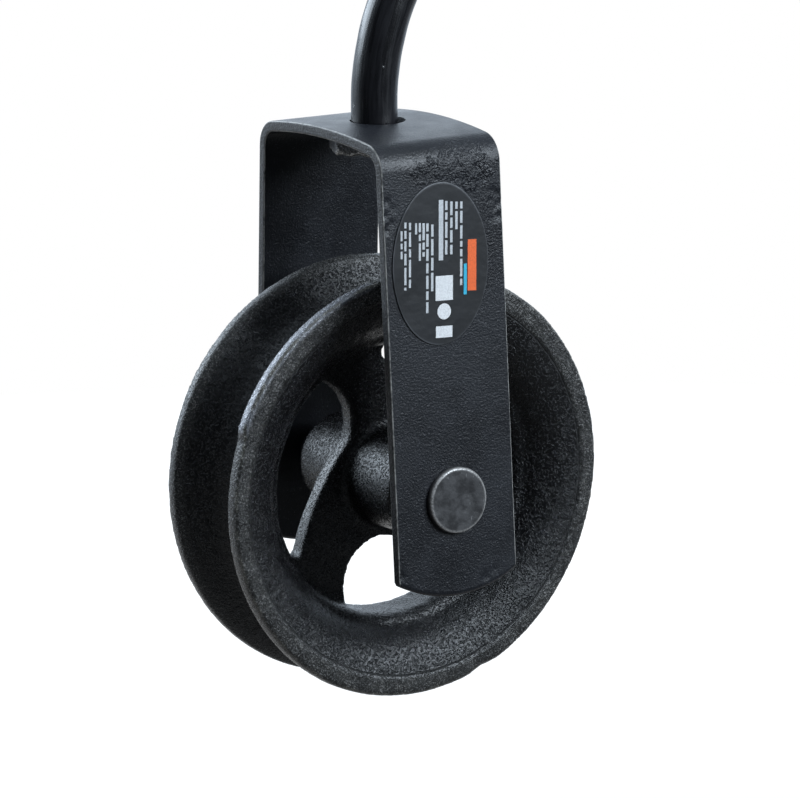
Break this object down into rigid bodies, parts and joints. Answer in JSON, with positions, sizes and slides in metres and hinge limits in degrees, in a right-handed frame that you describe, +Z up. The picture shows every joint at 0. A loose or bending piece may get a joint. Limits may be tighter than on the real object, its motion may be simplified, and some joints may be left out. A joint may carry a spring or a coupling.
{
  "type": "gin wheel",
  "caption": "Rope pulley wheel of cast iron in a black folded strap yoke that swivels beneath an open round-bar hook.",
  "frame": {"origin": "the seat of the hook, where its inside rests on the bar that it hangs on", "axes": "+Z up along the swivel axis, the wheel turns about Y, and the labelled leg of the yoke faces -Y"},
  "size_m": [0.1, 0.0677, 0.2408],
  "materials": {
    "casting": "black paint over a rough sand-cast surface, rubbed grey on the flanges",
    "strap": "satin black paint with a fine speckle and bright worn edges",
    "pin": "dark oiled steel with fine scratches",
    "hook": "half-gloss black paint with small chips",
    "label": "matt dark vinyl with plain colour fields and no lettering"
  },
  "bodies": {
    "hook": {"swivel_hook": "hook"},
    "yoke": {"yoke": "strap", "axle_pin": "pin", "oval_label": "label"},
    "wheel": {"wheel": "casting"}
  },
  "joints": [
    {"name": "hook_swivel", "type": "hinge", "parent": "hook", "child": "yoke", "pos_m": [0, 0, -0.0983], "axis": [0, 0, 1], "continuous": true},
    {"name": "wheel_spin", "type": "hinge", "parent": "yoke", "child": "wheel", "pos_m": [0, -0.0008, -0.18], "axis": [0, 1, 0], "continuous": true}
  ]
}
